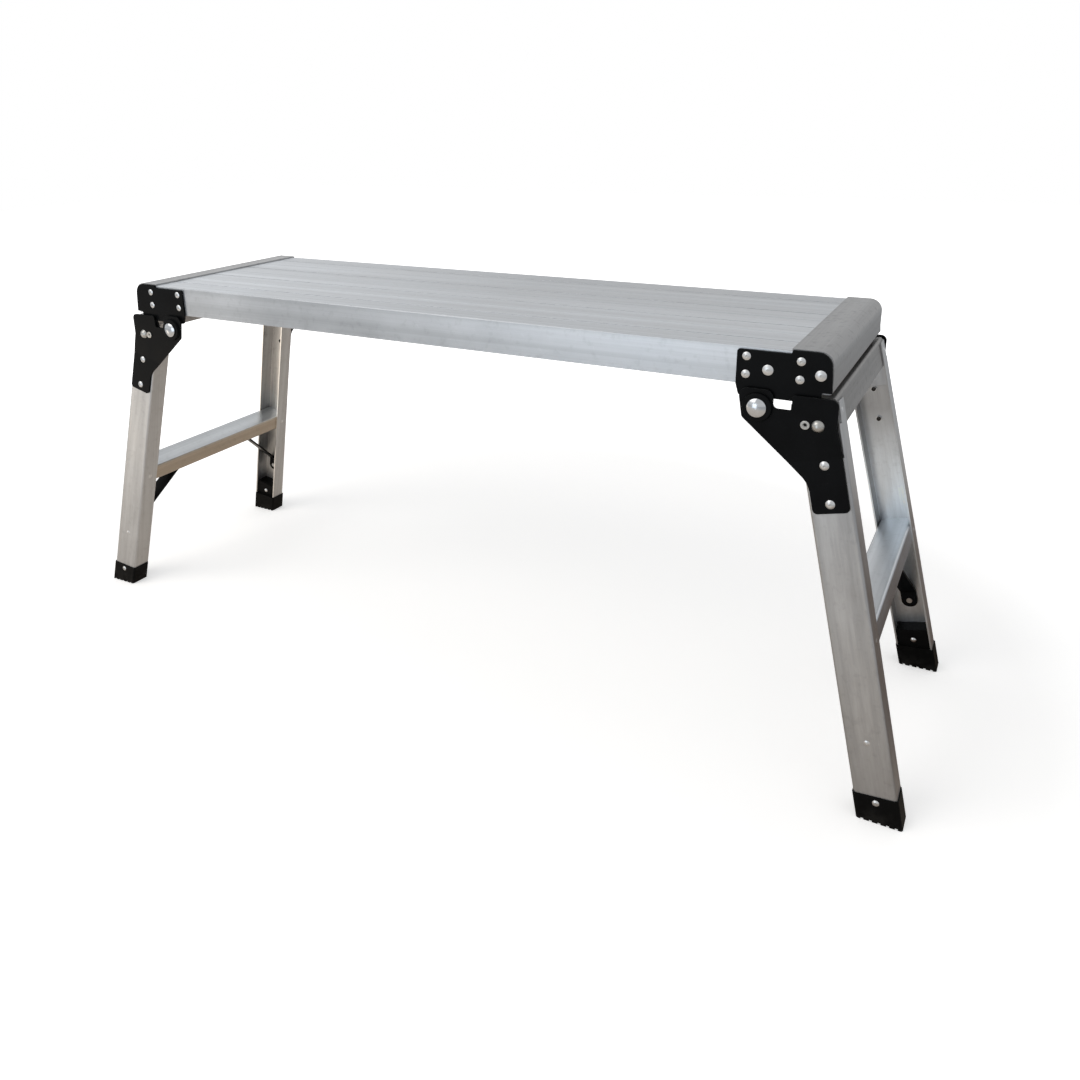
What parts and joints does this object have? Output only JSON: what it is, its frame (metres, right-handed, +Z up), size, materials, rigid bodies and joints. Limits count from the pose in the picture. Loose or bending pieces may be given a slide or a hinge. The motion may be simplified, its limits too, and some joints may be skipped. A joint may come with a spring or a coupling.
{
  "type": "work platform",
  "caption": "Folding work platform: an aluminium plank deck on two splayed leg frames that fold in under it on black hinge plates with sprung lock knobs.",
  "frame": {"origin": "on the floor under the middle of the deck, legs open", "axes": "+X along the deck's length, +Y from the front side to the rear side, +Z up"},
  "size_m": [1.2354, 0.365, 0.502],
  "materials": {
    "deck_aluminium": "brushed mill finish",
    "cap_aluminium": "satin",
    "leg_aluminium": "brushed mill finish",
    "black_plate": "semi-gloss powder coat",
    "black_brace": "satin powder coat",
    "bright_rivet": "bright",
    "pivot_steel": "zinc plated",
    "spacer_plastic": "matt",
    "lock_housing": "semi-gloss powder coat",
    "knob_chrome": "polished",
    "spring_steel": "plain wire",
    "foot_rubber": "matt moulded"
  },
  "bodies": {
    "deck": {"deck_plank_front": "deck_aluminium", "deck_plank_front_middle": "deck_aluminium", "deck_plank_rear": "deck_aluminium", "deck_plank_rear_middle": "deck_aluminium", "deck_plate_cap_rivets": "bright_rivet", "deck_plate_front_left": "black_plate", "deck_plate_front_right": "black_plate", "deck_plate_plank_rivets": "bright_rivet", "deck_plate_rear_left": "black_plate", "deck_plate_rear_right": "black_plate", "deck_plate_small_rivets": "bright_rivet", "end_cap_left": "cap_aluminium", "end_cap_right": "cap_aluminium", "end_cap_rivets": "bright_rivet"},
    "leg_frame_left": {"brace_front_left": "black_brace", "brace_rear_left": "black_brace", "brace_rivets_left": "bright_rivet", "foot_front_left": "foot_rubber", "foot_rear_left": "foot_rubber", "foot_rivets_left": "bright_rivet", "leg_front_left": "leg_aluminium", "leg_plate_front_left": "black_plate", "leg_plate_rear_left": "black_plate", "leg_rear_left": "leg_aluminium", "leg_rivets_left": "bright_rivet", "lock_housing_front_left": "lock_housing", "lock_housing_rear_left": "lock_housing", "lock_spring_front_left": "spring_steel", "lock_spring_rear_left": "spring_steel", "pivot_pins_left": "pivot_steel", "pivot_spacers_left": "spacer_plastic", "rung_left": "leg_aluminium", "spacer_studs_left": "bright_rivet", "top_crossbar_left": "leg_aluminium", "tube_rivets_left": "bright_rivet"},
    "leg_frame_right": {"brace_front_right": "black_brace", "brace_rear_right": "black_brace", "brace_rivets_right": "bright_rivet", "foot_front_right": "foot_rubber", "foot_rear_right": "foot_rubber", "foot_rivets_right": "bright_rivet", "leg_front_right": "leg_aluminium", "leg_plate_front_right": "black_plate", "leg_plate_rear_right": "black_plate", "leg_rear_right": "leg_aluminium", "leg_rivets_right": "bright_rivet", "lock_housing_front_right": "lock_housing", "lock_housing_rear_right": "lock_housing", "lock_spring_front_right": "spring_steel", "lock_spring_rear_right": "spring_steel", "pivot_pins_right": "pivot_steel", "pivot_spacers_right": "spacer_plastic", "rung_right": "leg_aluminium", "spacer_studs_right": "bright_rivet", "top_crossbar_right": "leg_aluminium", "tube_rivets_right": "bright_rivet"},
    "lock_knob_front_left": {"lock_knob_front_left": "knob_chrome"},
    "lock_knob_front_right": {"lock_knob_front_right": "knob_chrome"},
    "lock_knob_rear_left": {"lock_knob_rear_left": "knob_chrome"},
    "lock_knob_rear_right": {"lock_knob_rear_right": "knob_chrome"}
  },
  "joints": [
    {"name": "leg_fold_left", "type": "hinge", "parent": "deck", "child": "leg_frame_left", "pos_m": [-0.49, 0, 0.42599], "axis": [0, -1, 0], "range_deg": [0, 103.7]},
    {"name": "leg_fold_right", "type": "hinge", "parent": "deck", "child": "leg_frame_right", "pos_m": [0.49, 0, 0.42599], "axis": [0, 1, 0], "range_deg": [0, 103.7]},
    {"name": "lock_pull_front_left", "type": "slide", "parent": "leg_frame_left", "child": "lock_knob_front_left", "axis": [0, -1, 0], "range_m": [0, 0.0024], "stiffness_N_per_m": 900, "deforming": ["lock_spring_front_left"]},
    {"name": "lock_pull_front_right", "type": "slide", "parent": "leg_frame_right", "child": "lock_knob_front_right", "axis": [0, -1, 0], "range_m": [0, 0.0024], "stiffness_N_per_m": 900, "deforming": ["lock_spring_front_right"]},
    {"name": "lock_pull_rear_left", "type": "slide", "parent": "leg_frame_left", "child": "lock_knob_rear_left", "axis": [0, 1, 0], "range_m": [0, 0.0024], "stiffness_N_per_m": 900, "deforming": ["lock_spring_rear_left"]},
    {"name": "lock_pull_rear_right", "type": "slide", "parent": "leg_frame_right", "child": "lock_knob_rear_right", "axis": [0, 1, 0], "range_m": [0, 0.0024], "stiffness_N_per_m": 900, "deforming": ["lock_spring_rear_right"]}
  ]
}
